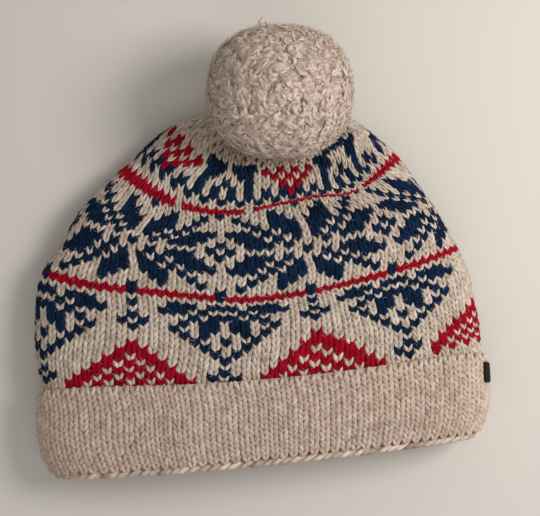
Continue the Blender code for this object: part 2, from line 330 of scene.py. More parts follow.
def lay_wales():
    """Skin course and turn of each stitch place, on a grid of quarter courses and quarter wales.

    Along a ring the wales are spaced by length: the mean width, plus the front's own width less
    the mean, times a sine wave that is steepest on the front and brings the sum back round. The
    two sway tables then move each place along its wale and along its ring.
    """
    courses = np.arange(RIM_COURSE, APEX_COURSE, 1.0 / GRID_STEPS)
    wales = np.arange(-2.0 * REPEAT, ROUND + 2.0 * REPEAT, 1.0 / GRID_STEPS)
    turns = np.linspace(0.0, TAU, RING_SAMPLES)
    rings = crown_skin(courses[:, None], turns[None, :])
    steps = np.linalg.norm(np.diff(rings, axis=1), axis=-1)
    length = np.concatenate([np.zeros((len(courses), 1)), np.cumsum(steps, axis=1)], axis=1)
    lay = np.array(WALE_LAY)
    start, width = np.moveaxis(through(lay[:, 0], lay[:, 1:], courses), -1, 0)
    mean = length[:, -1] / ROUND
    swayed = wales[None, :] + sway_grid(WALE_SWAY, courses, wales)
    wave = ROUND / (TAU) * np.sin(TAU * (swayed - WAVE_MIDDLE) / ROUND) + WAVE_START
    way = start[:, None] + mean[:, None] * swayed + (width - mean)[:, None] * wave
    laps = np.floor(way / length[:, -1:])
    way = way - laps * length[:, -1:]
    plain = np.array([np.interp(row, ring, turns) for row, ring in zip(way, length)])
    plain = plain + TAU * laps
    drawn = courses[:, None] + sway_grid(COURSE_SWAY, courses, wales)
    skin_course = np.clip(drawn, RIM_COURSE, APEX_COURSE - SMALL_COURSE)
    low, up = on_grid(skin_course, courses)
    column = np.broadcast_to(np.arange(len(wales)), low.shape)
    return courses, wales, skin_course, plain[low, column] * (1 - up) + plain[low + 1, column] * up


COURSE_KNOTS, WALE_KNOTS, SKIN_COURSES, TURNS = lay_wales()


def lay_at(grid, course, wale):
    """A value of the lay at a course and a wale, read between the four nearest knots."""
    low, up = on_grid(course, COURSE_KNOTS)
    left, over = on_grid(wale, WALE_KNOTS)
    below = grid[low, left] * (1 - over) + grid[low, left + 1] * over
    above = grid[low + 1, left] * (1 - over) + grid[low + 1, left + 1] * over
    return below * (1 - up) + above * up


def turn_at(course, wale):
    """Turn of a wale at a course."""
    return lay_at(TURNS, course, wale)


def knit_place(course, wale):
    """Place on the crown's skin of a course and a wale."""
    course, wale = np.broadcast_arrays(course, wale)
    return crown_skin(lay_at(SKIN_COURSES, course, wale), turn_at(course, wale))


def cuff_place(part, turn):
    """Outer face of the cuff at a part of its height: the crown's skin moved out along its normal."""
    part, turn = np.broadcast_arrays(part, turn)
    lift = np.clip(np.sin(turn), 0.0, 1.0)
    top = CUFF_TOP_AT_SIDES + (CUFF_TOP_AT_MIDDLE - CUFF_TOP_AT_SIDES) * lift
    course = RIM_COURSE + (top - RIM_COURSE) * part
    proud = GAP + CUFF_WALL * (CUFF_EDGE + CUFF_SWELL * np.sin(np.pi * np.clip(part, 0.0, 1.0)))
    face = crown_skin(course, turn) + proud[..., None] * crown_normal(course, turn)
    face[..., 2] = np.maximum(face[..., 2], 0.0)
    return face


def cuff_face_normal(part, turn):
    """Outward normal of the cuff's face at a part of its height and a turn."""
    return normals_of(cuff_place, part, turn, SMALL_PART, SMALL_TURN)


# Move from the tables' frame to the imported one, where the part's box is centred on the floor
FRAME_SHIFT = np.array([2.349, -1.25, 0.0])

# Yarn twist: plies in the yarn, and turns of a ply along one leg of a stitch
PLIES = 3.0
TWIST = 1.3
# Noise cells to a metre: loose fibres 0.8 mm apart, and patches of tone 5 mm wide
FIBRE_SCALE = 1300.0
PATCH_SCALE = 210.0
# Width and height of a stitch, in metres, for the cloth's wrong side
WALE_PITCH = 0.0049
COURSE_PITCH = 0.0036
# Ribs and warp threads of the tape, in metres
RIB_PITCH = 0.0011
WARP_PITCH = 0.0009


def to_linear(colour):
    """Linear red, green and blue of an sRGB hex value, and full alpha."""
    parts = np.array([int(colour[place:place + 2], 16) for place in (1, 3, 5)]) / 255.0
    return (*np.where(parts <= 0.04045, parts / 12.92, ((parts + 0.055) / 1.055)**2.4), 1.0)


def set_inputs(node, values):
    """Set the values of a node's inputs by name."""
    for name, value in values.items():
        node.inputs[name].default_value = value


def add_node(tree, kind, inputs=(), **settings):
    """A node of the tree; an input is a value, or a socket to link from."""
    made = tree.nodes.new("ShaderNode" + kind)
    for name, value in settings.items():
        setattr(made, name, value)
    for key, value in dict(inputs).items():
        if isinstance(value, bpy.types.NodeSocket):
            tree.links.new(value, made.inputs[key])
        else:
            made.inputs[key].default_value = value
    return made


def sine_waves(tree, ways):
    """A sine wave along each of some coordinates, at its own pitch in metres."""
    waves = []
    for way, pitch in ways:
        turn = add_node(tree, "Math", {0: way, 1: TAU / pitch}, operation="MULTIPLY")
        waves.append(add_node(tree, "Math", {0: turn.outputs[0]}, operation="SINE").outputs[0])
    return waves


def start_material(name):
    """A new material with nodes: itself, its tree, its shader and its coordinates node."""
    material = bpy.data.materials.new(name)
    material.use_nodes = True
    tree = material.node_tree
    return material, tree, tree.nodes["Principled BSDF"], add_node(tree, "TexCoord")


def wool(name, shade, light, haze=0.12, fleck=0.45, purl=0.0):
    """Spun wool yarn, worsted and knitted: matte fibres that scatter light along the leg.

    The eye sees soft uneven tone from the fleece, fine fibres along the twist, and a faint
    bright rim where loose fibres stand at the edge of a leg. Purl above 0 adds the bumps of
    the knit's wrong side, a stitch wide and a course high, for cloth with no stitches of its own.
    """
    material, tree, shader, place = start_material(name)
    split = add_node(tree, "SeparateXYZ", {0: place.outputs["UV"]})
    slant = add_node(tree, "Math", {0: split.outputs["X"], 1: TWIST * TAU}, operation="MULTIPLY")
    angle = add_node(tree, "Math", {0: split.outputs["Y"], 1: PLIES * TAU, 2: slant.outputs[0]},
                     operation="MULTIPLY_ADD")
    ply = add_node(tree, "Math", {0: angle.outputs[0]}, operation="COSINE")
    fibre = add_node(tree, "TexNoise", {"Vector": place.outputs["Object"], "Scale": FIBRE_SCALE,
                                        "Detail": 3.0})
    patch = add_node(tree, "TexNoise", {"Vector": place.outputs["Object"], "Scale": PATCH_SCALE,
                                        "Detail": 2.0})
    tone = add_node(tree, "Attribute", attribute_name="tone")
    parts = tone.outputs["Fac"]
    # The ply wave darkens the grooves between the plies a little, as painted shade; the patch and fibre
    # noise vary the tone at random
    for part, weight in ((ply, 0.06), (patch, 0.9), (fibre, 2.0 * fleck)):
        sum_of = add_node(tree, "Math", {0: part.outputs[0], 1: weight, 2: parts}, operation="MULTIPLY_ADD")
        parts = sum_of.outputs[0]
    share = add_node(tree, "Math", {0: parts, 1: 0.45 + fleck}, operation="SUBTRACT")
    blend = add_node(tree, "Mix", {0: share.outputs[0], 6: to_linear(shade), 7: to_linear(light)},
                     data_type="RGBA")
    tree.links.new(blend.outputs[2], shader.inputs["Base Color"])
    height = add_node(tree, "Math", {0: fibre.outputs["Fac"], 1: 1.6, 2: ply.outputs[0]},
                      operation="MULTIPLY_ADD")
    if purl:
        axes = add_node(tree, "SeparateXYZ", {0: place.outputs["Object"]}).outputs
        across, up = sine_waves(tree, ((axes["X"], WALE_PITCH), (axes["Y"], COURSE_PITCH)))
        cross = add_node(tree, "Math", {0: across, 1: 0.4, 2: 0.6}, operation="MULTIPLY_ADD")
        cross = add_node(tree, "Math", {0: cross.outputs[0], 1: up}, operation="MULTIPLY")
        height = add_node(tree, "Math", {0: cross.outputs[0], 1: purl, 2: height.outputs[0]},
                          operation="MULTIPLY_ADD")
    bump = add_node(tree, "Bump", {"Height": height.outputs[0], "Strength": 0.5, "Distance": 0.00012})
    tree.links.new(bump.outputs["Normal"], shader.inputs["Normal"])
    set_inputs(shader, {"Roughness": 0.95, "Specular IOR Level": 0.12, "Sheen Weight": haze,
                        "Sheen Roughness": 0.5, "Sheen Tint": to_linear(light)})
    return material


def woven_tape(name, shade, light):
    """Black woven tape, a polyester weft over a thicker warp: matte, with ribs across its length.

    The eye sees close low ribs, cut up by the warp. Real ones are half a millimetre apart, and
    they are drawn twice as coarse so they show. The tape bends from x to z, so x less z follows it.
    """
    material, tree, shader, place = start_material(name)
    split = add_node(tree, "SeparateXYZ", {0: place.outputs["Object"]})
    along = add_node(tree, "Math", {0: split.outputs["X"], 1: split.outputs["Z"]}, operation="SUBTRACT")
    rib, warp = sine_waves(tree, ((along.outputs[0], RIB_PITCH), (split.outputs["Y"], WARP_PITCH)))
    cut = add_node(tree, "Math", {0: warp, 1: 0.3, 2: 0.7}, operation="MULTIPLY_ADD")
    weave = add_node(tree, "Math", {0: rib, 1: cut.outputs[0]}, operation="MULTIPLY")
    # The colour follows the height of the weave: darker in the troughs and lighter on the crests, as
    # painted shade and highlight
    share = add_node(tree, "Math", {0: weave.outputs[0], 1: 0.5, 2: 0.5}, operation="MULTIPLY_ADD")
    blend = add_node(tree, "Mix", {0: share.outputs[0], 6: to_linear(shade), 7: to_linear(light)},
                     data_type="RGBA")
    tree.links.new(blend.outputs[2], shader.inputs["Base Color"])
    bump = add_node(tree, "Bump", {"Height": weave.outputs[0], "Strength": 0.5, "Distance": 0.0002})
    tree.links.new(bump.outputs["Normal"], shader.inputs["Normal"])
    set_inputs(shader, {"Roughness": 0.8, "Specular IOR Level": 0.15})
    return material


def add_mesh(name, points, faces, material, uv=None, tone=None):
    """A mesh object at the origin from whole arrays; faces is a list of arrays of equal length rows."""
    mesh = bpy.data.meshes.new(name)
    points = (np.asarray(points, float) + FRAME_SHIFT) * MM
    corners = np.concatenate([rows.ravel() for rows in faces]).astype(np.int32)
    sizes = np.concatenate([np.full(len(rows), rows.shape[1]) for rows in faces])
    starts = np.concatenate([[0], np.cumsum(sizes)[:-1]]).astype(np.int32)
    mesh.vertices.add(len(points))
    mesh.vertices.foreach_set("co", points.ravel())
    mesh.loops.add(len(corners))
    mesh.loops.foreach_set("vertex_index", corners)
    mesh.polygons.add(len(sizes))
    mesh.polygons.foreach_set("loop_start", starts)
    mesh.update(calc_edges=True)
    mesh.shade_smooth()
    if uv is not None:
        layer = mesh.uv_layers.new(name="UVMap")
        layer.data.foreach_set("uv", np.asarray(uv, np.float32).ravel())
    if tone is not None:
        kept = mesh.attributes.new("tone", "FLOAT", "POINT")
        kept.data.foreach_set("value", np.asarray(tone, np.float32))
    mesh.materials.append(material)
    item = bpy.data.objects.new(name, mesh)
    bpy.context.scene.collection.objects.link(item)
    return item


def strand_faces(count, stations, sides, slide):
    """Faces and corner UVs of many closed strands: bands of quads and a fan at each of two poles.

    A UV runs along the strand by its stations, moved by its slide, and round it by its sides.
    """
    inner = stations[1:-1]
    rings = len(inner)
    ring, side = np.meshgrid(np.arange(rings - 1), np.arange(sides), indexing="ij")
    ring = np.stack([ring, ring, ring + 1, ring + 1], -1).reshape(-1, 4)
    side = np.stack([side, side + 1, side + 1, side], -1).reshape(-1, 4)
    quads = ring * sides + side % sides
    quad_uv = np.stack([inner[ring], side / sides], -1).reshape(-1, 2)
    side = np.arange(sides)[:, None]
    after = (side + 1) % sides
    last = (rings - 1) * sides
    foot = np.hstack([np.full_like(side, rings * sides), after, side])
    head = np.hstack([np.full_like(side, rings * sides + 1), last + side, last + after])
    caps = np.concatenate([foot, head])
    ends = [[stations[0], inner[0], inner[0]], [stations[-1], inner[-1], inner[-1]]]
    round_by = np.concatenate([side + [0.5, 1, 0], side + [0.5, 0, 1]]) / sides
    cap_uv = np.stack([np.repeat(ends, sides, axis=0), round_by], -1).reshape(-1, 2)
    shift = (np.arange(count) * (rings * sides + 2))[:, None, None]
    slid = np.stack([slide, np.zeros(count)], -1)[:, None, :]
    return ([(quads + shift).reshape(-1, 4), (caps + shift).reshape(-1, 3)],
            np.concatenate([(quad_uv + slid).reshape(-1, 2), (cap_uv + slid).reshape(-1, 2)]))


# Softness of the curve that the floor presses the lowest yarn to, in square millimetres
FLOOR_SOFTNESS = 0.4


def pressed(height):
    """Height after the floor has pressed it: a smooth curve from the floor into the height itself."""
    return 0.5 * (height + np.sqrt(height**2 + FLOOR_SOFTNESS))


def strands(name, path, up, wide, thick, sides, material, stations, slide, tone):
    """Closed strands along many paths at once.

    path is strands by stations by 3, and the first and last stations are the poles. Each inner
    station carries an ellipse, wide along the cross product of up and the path's direction and
    thick along up.
    """
    count = len(path)
    along = np.gradient(path, axis=1)
    across = unit_vectors(np.cross(along, up))
    rise = unit_vectors(np.cross(across, along))
    angle = TAU * np.arange(sides) / sides
    ring = (path[:, 1:-1, None, :]
            + (wide[:, 1:-1, None] * np.cos(angle))[..., None] * across[:, 1:-1, None, :]
            + (thick[:, 1:-1, None] * np.sin(angle))[..., None] * rise[:, 1:-1, None, :])
    points = np.concatenate([ring.reshape(count, -1, 3), path[:, :1], path[:, -1:]], axis=1)
    points[..., 2] = pressed(points[..., 2])
    faces, uv = strand_faces(count, stations, sides, slide)
    return add_mesh(name, points.reshape(-1, 3), faces, material, uv, np.repeat(tone, points.shape[1]))


def chart_rows():
    """Course, wale and wale width of every stitch of the crown, and its yarn's number."""
    charted = dict(CHART)
    out = []
    for course in range(FIRST_COURSE, LAST_COURSE + 1):
        count = [number for start, number in REPEAT_COUNTS if course >= start][-1]
        place = np.arange(count * REPEATS)
        step = place % count
        row = charted.get(course, ".")
        step = step if len(row) == count else np.minimum(step, count - step)
        codes = np.array([YARNS.index(mark) for mark in row])
        yarn = np.where(step < len(row), codes[np.minimum(step, len(row) - 1)], 0)
        for at, mark in [(at, mark) for other, at, mark in EXCEPTIONS if other == course]:
            yarn[at] = YARNS.index(mark)
        unit = REPEAT / count
        wale = place * REPEAT / count
        out.append(np.stack([np.full(len(place), course), wale, np.full(len(place), unit), yarn], -1))
    out = np.concatenate(out).T
    return out[:3], out[3]


# A leg of a stitch: stations up the leg, from the point of the V to its open end
LEG_STATIONS = np.array([0.0, 0.12, 0.34, 0.60, 0.86, 1.0])
LEG_ASIDE = np.array([0.01, 0.05, 0.175, 0.30, 0.375, 0.38])
LEG_UP = np.array([-1.05, -0.80, -0.28, 0.32, 0.92, 1.25])
LEG_RISE = np.array([-0.2, 0.35, 0.65, 0.30, -0.55, -1.3])
LEG_WIDE = np.array([0.0, 0.125, 0.22, 0.25, 0.21, 0.0])
LEG_THICK = np.array([0.0, 0.65, 1.0, 1.1, 0.9, 0.0])
# Aside and rise that a slant and a softness turn about
MIDDLE_ASIDE = 0.21
MIDDLE_RISE = 0.35
# Random differences between legs: along the wale, aside, round, in rise and in tone
LEG_JITTER = (0.05, 0.012, 0.02, 0.12, 0.07)
YARN_SIDES = 5
# Small step of a course and a wale, for the normals of a knit
SMALL_STITCH = 0.2


def knit_normal(surface, row, wale):
    """Outward normal of a knitted surface at a row and a wale."""
    return normals_of(surface, row, wale, SMALL_STITCH, SMALL_STITCH)


def add_stitches(name, surface, stitches, seed, yarn, slant=1.0, soft=1.0, full=(1.0, 0.0, 1.0)):
    """A piece of stitches on a surface, two closed legs of yarn for each row, wale and wale width.

    A leg starts at the point of the V, runs up and out to half a wale from the middle, rises
    over the surface, and dives at its end under the next stitch. Soft below 1 makes a flatter
    leg that dives less, and full gives its share of the plain width, its lift in millimetres
    and its share of the plain length.
    """
    width_share, lift, length_share = full
    up_by, aside_by, round_by, rise_by, tone_by = LEG_JITTER
    draw = np.random.default_rng(seed)
    sides = np.repeat([-1.0, 1.0], stitches.shape[1])
    row, wale, unit = np.tile(stitches, 2)
    jitter = draw.normal(0.0, 1.0, (len(row), 4))
    aside = MIDDLE_ASIDE + (LEG_ASIDE - MIDDLE_ASIDE) * slant
    courses = row[:, None] + LEG_UP * length_share + up_by * jitter[:, :1]
    wales = wale[:, None] + unit[:, None] * (sides[:, None] * (aside + aside_by * jitter[:, 1:2])
                                             + round_by * jitter[:, 2:3])
    normal = knit_normal(surface, courses, wales)
    rise = MIDDLE_RISE + (LEG_RISE - MIDDLE_RISE) * soft + lift
    path = surface(courses, wales) + (rise * (1.0 + rise_by * jitter[:, 3:4]))[..., None] * normal
    span = surface(row, wale + 0.5 * unit) - surface(row, wale - 0.5 * unit)
    wide = width_share * LEG_WIDE * np.linalg.norm(span, axis=-1)[:, None]
    thick = LEG_THICK * np.ones_like(wide)
    tone = draw.normal(0.5, tone_by, len(row))
    slide = draw.uniform(0.0, 1.0, len(row))
    return strands(name, path, normal, wide, thick, YARN_SIDES, yarn, LEG_STATIONS, slide, tone)


# Whether a piece of stitches faces up, and its name
FACES = ((True, "front"), (False, "back"))
# Seeds of the random draws
CROWN_SEED = 11
CUFF_SEED = 31
CROWN_FIBRE_SEED = 51
CUFF_FIBRE_SEED = 61
EDGE_SEED = 5
POMPOM_SEED = 3


def build_crown_stitches(yarns):
    """All stitches of the crown, a piece for each yarn and for the front and the back."""
    stitches, yarn = chart_rows()
    facing = np.sin(turn_at(*stitches[:2])) > 0
    made = []
    for number, label in enumerate(YARN_NAMES):
        for front, side in FACES:
            pick = (yarn == number) & (facing == front)
            made.append(add_stitches(f"{label}_stitches_{side}", knit_place, stitches[:, pick],
                                     CROWN_SEED + number, yarns[number], full=YARN_FULLNESS[number]))
    return made


# A loose fibre by its stations: share of its half width, and height over the cloth
FIBRE_STATIONS = np.array([0.0, 0.15, 0.75, 1.0])
FIBRE_SHAPE = np.array([0.0, 1.0, 0.8, 0.0])
FIBRE_RISE = np.array([1.0, 1.75, 1.9, 1.3])
FIBRE_SIDES = 3
# Its least and most length and half width, and how far it bends, in radians
FIBRE_LENGTH = (0.9, 2.8)
FIBRE_WIDE = (0.05, 0.11)
FIBRE_BEND = 0.9
# Height and width of a stitch, near enough to lay a fibre by
STITCH_HIGH = 3.6
STITCH_WIDE = 5.0
# How many of cream, navy and red on the crown's front, and how many on the cuff's
CROWN_FIBRES = (6500, 900, 300)
CUFF_FIBRES = 3500
# They start above this course, and on the front with a little more, by the sine of the turn
FIRST_FIBRES = -18
FRONT_EDGE = -0.1


def build_fuzz(name, surface, stitches, count, seed, yarn):
    """Loose fibres over the front of a knit: fine short curves that start in a stitch of their yarn.

    A fibre runs off in a random direction along the cloth, lifts over the legs and comes down.
    """
    draw = np.random.default_rng(seed)
    row, wale, unit = stitches[:, draw.integers(0, stitches.shape[1], count)]
    angle = draw.uniform(0.0, TAU, (count, 1))
    angle = angle + draw.normal(0.0, FIBRE_BEND, (count, 1)) * FIBRE_STATIONS
    length = draw.uniform(*FIBRE_LENGTH, (count, 1)) * FIBRE_STATIONS
    row = row + draw.uniform(-0.7, 0.5, count)
    rows = row[:, None] + length * np.sin(angle) / STITCH_HIGH
    wale = wale + draw.uniform(-0.45, 0.45, count) * unit
    wales = wale[:, None] + length * np.cos(angle) / STITCH_WIDE
    lift = FIBRE_RISE + draw.uniform(-0.3, 0.45, (count, 1))
    up = knit_normal(surface, rows, wales)
    path = surface(rows, wales) + lift[..., None] * up
    wide = FIBRE_SHAPE * draw.uniform(*FIBRE_WIDE, (count, 1))
    return strands(name, path, up, wide, wide, FIBRE_SIDES, yarn, FIBRE_STATIONS,
                   draw.uniform(0.0, 1.0, count), draw.normal(0.62, 0.10, count))


def build_crown_fuzz(yarns):
    """Loose fibres of the three yarns over the crown's front."""
    stitches, yarn = chart_rows()
    facing = (np.sin(turn_at(*stitches[:2])) > FRONT_EDGE) & (stitches[0] > FIRST_FIBRES)
    return [build_fuzz(f"{label}_loose_fibres", knit_place, stitches[:, (yarn == number) & facing],
                       CROWN_FIBRES[number], CROWN_FIBRE_SEED + number, yarns[number])
            for number, label in enumerate(YARN_NAMES)]


# Rows of the cuff's stitches, their fullness as above, and the course that gives their turns
CUFF_ROWS = 15
CUFF_FULLNESS = (1.0, 0.0, 0.86)
CUFF_COURSE = -24.0

# Plain tab on the cuff's right edge: parts of the cuff's height, and turns in degrees
TAB_LENGTH = (0.66, 0.91)
TAB_TURN = (168.0, 196.0)
TAB_THICK = 1.1
TAB_SEAT = 0.55
# The knit under it is pressed in: the depth, the reach as a share of the tab's size, the power of
# the edge, and the degrees from the tab's middle that have no loose fibres
PRESS_DEPTH = 1.6
PRESS_REACH = 0.56
PRESS_EDGE = 10
FIBRES_CLEAR = 24.0


def cuff_turn(wale):
    """Turn of a wale on the cuff."""
    return turn_at(np.full(np.shape(wale), CUFF_COURSE), wale)


def cuff_reach(turn):
    """Part of the cuff's height that its cloth reaches: a little less towards the left side."""
    return 1.0 - 0.05 * np.clip(np.cos(turn), 0.0, 1.0)


def under_tape(part, turn):
    """1 under the side tape and 0 away from it, with a short soft edge between."""
    along = (part - np.mean(TAB_LENGTH)) / (PRESS_REACH * np.ptp(TAB_LENGTH))
    across = (np.degrees(turn) % 360.0 - np.mean(TAB_TURN)) / (PRESS_REACH * np.ptp(TAB_TURN))
    return np.exp(-along**PRESS_EDGE - across**PRESS_EDGE)


def cuff_knit(row, wale):
    """Place of a row of the cuff's stitches and a wale: its face, pressed in under the side tape."""
    row, wale = np.broadcast_arrays(row, wale)
    turn = cuff_turn(wale)
    part = row / CUFF_ROWS * cuff_reach(turn)
    depth = PRESS_DEPTH * under_tape(part, turn)
    return cuff_place(part, turn) - depth[..., None] * crown_normal(CUFF_COURSE, turn)


def build_cuff_stitches(yarn):
    """Plain stitches of the cuff, front and back, and loose fibres over its front."""
    row, wale = np.meshgrid(np.arange(CUFF_ROWS) + 0.2, np.arange(ROUND), indexing="ij")
    stitches = np.stack([row.ravel(), wale.ravel(), np.ones(row.size)])
    turn = cuff_turn(stitches[1])
    facing = np.sin(turn) > 0
    made = []
    for front, side in FACES:
        made.append(add_stitches(f"cuff_stitches_{side}", cuff_knit, stitches[:, facing == front],
                                 CUFF_SEED, yarn, slant=1.15, soft=0.8, full=CUFF_FULLNESS))
    clear = np.abs(np.degrees(turn) - np.mean(TAB_TURN)) > FIBRES_CLEAR
    pick = (np.sin(turn) > FRONT_EDGE) & clear
    made.append(build_fuzz("cuff_loose_fibres", cuff_knit, stitches[:, pick], CUFF_FIBRES,
                           CUFF_FIBRE_SEED, yarn))
    return made


def closed_rings(name, rings, material, capped=True):
    """A closed body through a stack of rings: a pole amid each end ring, or the two ends joined."""
    count, width = rings.shape[:2]
    last = count - 1 if capped else count
    ring, place = np.meshgrid(np.arange(last), np.arange(width), indexing="ij")
    after, above = (place + 1) % width, (ring + 1) % count
    quads = np.stack([ring * width + place, above * width + place,
                      above * width + after, ring * width + after], -1).reshape(-1, 4)
    points = rings.reshape(-1, 3)
    faces = [quads]
    if capped:
        points = np.concatenate([points, rings[:1].mean(1), rings[-1:].mean(1)])
        place, after = place[0], after[0]
        foot = np.stack([np.full(width, count * width), place, after], -1)
        head = np.stack([np.full(width, count * width + 1), last * width + after, last * width + place], -1)
        faces.append(np.concatenate([foot, head]))
    return add_mesh(name, points, faces, material, tone=np.full(len(points), 0.5))


# Depth of the walls below the faces that carry the stitches: crown, and cuff outside and inside
CROWN_BED = 1.5
CUFF_BED = 0.9
CUFF_INSIDE = CUFF_WALL - 0.2


def build_crown_wall(material):
    """Inner cloth of the crown: a closed wall just below the stitches, open at the mouth."""
    turns = round_turns(160)
    down = np.linspace(APEX_COURSE - 0.5, RIM_COURSE, 80)[:, None]
    up = np.linspace(RIM_COURSE, INSIDE_TOP_COURSE, 40)[:, None]
    rings = np.concatenate([crown_skin(down, turns) - CROWN_BED * crown_normal(down, turns),
                            crown_skin(up, turns) - CROWN_WALL * crown_normal(up, turns)])
    return closed_rings("crown_wall", rings, material)


def build_cuff_wall(material):
    """Inner cloth of the cuff: a closed sleeve below its stitches."""
    turns = round_turns(240)
    rings = []
    for parts, depth in ((np.linspace(0.0, 1.0, 24), CUFF_BED), (np.linspace(1.0, 0.0, 12), CUFF_INSIDE)):
        part = parts[:, None]
        face = cuff_place(part * cuff_reach(turns), turns)
        rings.append(face - depth * cuff_face_normal(part, turns))
    return closed_rings("cuff_wall", np.concatenate(rings), material, capped=False)


# Turned edge of the cuff: height, power of its squarish section, lowest height, its core's share
RIDGE_HEIGHT = 5.2
RIDGE_ROUND = 0.62
RIDGE_FLOOR = 0.4
CORE_SHARE = 0.82

# A link of its chain: stations along it, its share of the section, and half its width and height
LINK_STATIONS = np.array([0.0, 0.10, 0.34, 0.62, 0.88, 1.0])
LINK_SHARE = np.array([0.55, 0.80, 0.88, 0.86, 0.72, 0.45])
LINK_WIDE = np.array([0.0, 1.0, 1.45, 1.5, 1.2, 0.0])
LINK_THICK = np.array([0.0, 0.4, 0.6, 0.6, 0.4, 0.0])
LINK_SIDES = 6
# Its course, and in wales where it starts and how far it runs
LINK_COURSE = RIM_COURSE + 0.2
LINK_START = -0.9
LINK_RUN = 2.2
LINK_ROWS = (
    # name, first and last angle over the section in degrees
    ("edge_links", -60.0, 95.0),
    ("edge_inner_links", 250.0, 100.0),
)


def squarish(wave, power):
    """A sine or cosine raised to a power with its sign kept: below 1 the section is squarer."""
    return np.sign(wave) * np.abs(wave)**power


def ridge_place(angle, turn, size):
    """Face of the turned edge: a squarish section at the mouth, by its own angle and the turn.

    Angle 0 faces out from the hat and 90 degrees faces the cuff. Size shrinks the section
    towards its middle.
    """
    angle, turn = np.broadcast_arrays(angle, turn)
    normal = crown_normal(RIM_COURSE, turn)
    up_way = crown_skin(RIM_COURSE + SMALL_COURSE, turn) - crown_skin(RIM_COURSE - SMALL_COURSE, turn)
    up_way = unit_vectors(up_way)
    half_wide = 0.5 * (CROWN_WALL + GAP + CUFF_EDGE * CUFF_WALL)
    wide = size * squarish(np.cos(angle), RIDGE_ROUND)
    high = size * squarish(np.sin(angle), RIDGE_ROUND)
    face = crown_skin(RIM_COURSE, turn) + (half_wide - CROWN_WALL + half_wide * wide)[..., None] * normal
    face = face - (GAP + 0.5 * RIDGE_HEIGHT * (1.0 - high))[..., None] * up_way
    face[..., 2] = np.maximum(face[..., 2], RIDGE_FLOOR)
    return face


def build_ridge(yarn):
    """Cast-off chain along the mouth: long plump slanted links over a closed core."""
    rings = ridge_place(round_turns(12)[:, None], round_turns(300), CORE_SHARE)
    made = [closed_rings("edge_core", rings, yarn, capped=False)]
    draw = np.random.default_rng(EDGE_SEED)
    each = np.ones((ROUND, 1))
    for name, first, last in LINK_ROWS:
        wales = np.arange(ROUND) + 0.15 * draw.normal(0.0, 1.0, ROUND)
        along = wales[:, None] + LINK_START + LINK_RUN * LINK_STATIONS
        turn = turn_at(np.full(along.shape, LINK_COURSE), along % ROUND)
        angle = np.radians(first + (last - first) * LINK_STATIONS)
        angle = angle + 0.05 * draw.normal(0.0, 1.0, (ROUND, 1))
        path = ridge_place(angle, turn, LINK_SHARE + 0.02 * draw.normal(0.0, 1.0, (ROUND, 1)))
        up = unit_vectors(path - ridge_place(angle, turn, 0.2))
        made.append(strands(name, path, up, LINK_WIDE * each, LINK_THICK * each, LINK_SIDES, yarn,
                            LINK_STATIONS, draw.normal(0.5, 0.06, ROUND),
                            draw.uniform(0.0, 1.0, ROUND)))
    return made


# Pompom: yarn ends, their length over the surface, half width, flatness, and curl with its turns
TUFTS = 4300
TUFT_LENGTH = 5.0
TUFT_WIDE = 1.15
TUFT_FLATNESS = 0.33
TUFT_CURL = 1.1
CURL_TURNS = 0.7
# A yarn end by the stations of a leg: shares of the ball out, of its length along, of its half width
TUFT_OUT = np.array([-0.08, -0.03, 0.0, 0.004, -0.012, -0.04])
TUFT_ALONG = np.array([-0.25, -0.22, 0.02, 0.35, 0.65, 0.72])
TUFT_SHAPE = np.array([0.0, 0.85, 1.0, 1.0, 0.8, 0.0])
# Fine loose ends, and how far out of the wool one stands along its stations
LOOSE_ENDS = 10000
LOOSE_OUT = np.array([0.0, 0.02, 0.045, 0.05])
# Shares of the ball that the core, the yarn ends and the loose ends reach in a groove
CORE_REACH = 0.899
TUFT_REACH = 0.905
LOOSE_REACH = 0.92
CLUMPS = 330
CLUMP_SIZE = 0.14
CLUMP_DEPTH = 0.075
BALL_LIE = (0.985, 0.95, 1.0)
BALL_FULLNESS = 2.35

# One yarn end that curls out past the ball's far side
STRAY_END = (
    # x, y, z
    (-3.4, 108.0, 46.0),
    (-4.0, 110.8, 46.5),
    (-4.4, 113.6, 46.0),
    (-3.2, 115.2, 45.0),
    (-1.6, 114.8, 44.5),
    (-1.4, 113.0, 45.0),
    (-2.4, 111.4, 45.5),
)
STRAY_WIDE = (0.0, 1.0, 1.3, 1.5, 1.3, 0.9, 0.0)


def even_ways(count, draw, loose):
    """Unit directions spaced over the ball by the golden angle, each moved a little."""
    place = np.arange(count) + 0.5
    polar = np.arccos(1.0 - 2.0 * place / count)
    spin = np.pi * (1.0 + 5.0**0.5) * place
    way = np.stack([np.cos(spin) * np.sin(polar), np.sin(spin) * np.sin(polar), np.cos(polar)], -1)
    return unit_vectors(way + loose * draw.normal(0.0, 1.0, way.shape))


def clump_field(way, centres):
    """Nearest clump's middle, and how far the wool stands out: 1 there, falling to the grooves.

    The fall is the square of the distance to the nearest middle, and a parting lowers the front.
    """
    near = (way.reshape(-1, 3) @ centres.T).argmax(-1)
    middle = centres[near].reshape(way.shape)
    far = np.linalg.norm(way - middle, axis=-1) / CLUMP_SIZE
    x, y, z = np.moveaxis(way, -1, 0)
    parting = np.exp(-((x - 0.26 + 0.05 * np.sin(7.0 * y)) / 0.05)**2) * np.exp(-((y + 0.05) / 0.5)**2)
    return middle, np.clip(1.0 - far**2, 0.0, 1.0) - 0.7 * parting * (z > 0)


def ball_size(way):
    """Radii of the lying ball in a direction: a superellipse seen from above, a little squarer."""
    flat = np.linalg.norm(way[..., :2], axis=-1, keepdims=True)
    shares = np.abs(way[..., :2]) / np.maximum(flat, 1e-6)
    full = (shares**BALL_FULLNESS).sum(-1, keepdims=True)**(-1.0 / BALL_FULLNESS)
    return np.array(POMPOM_RADII) * np.array(BALL_LIE) * (1.0 + (full - 1.0) * flat**2)


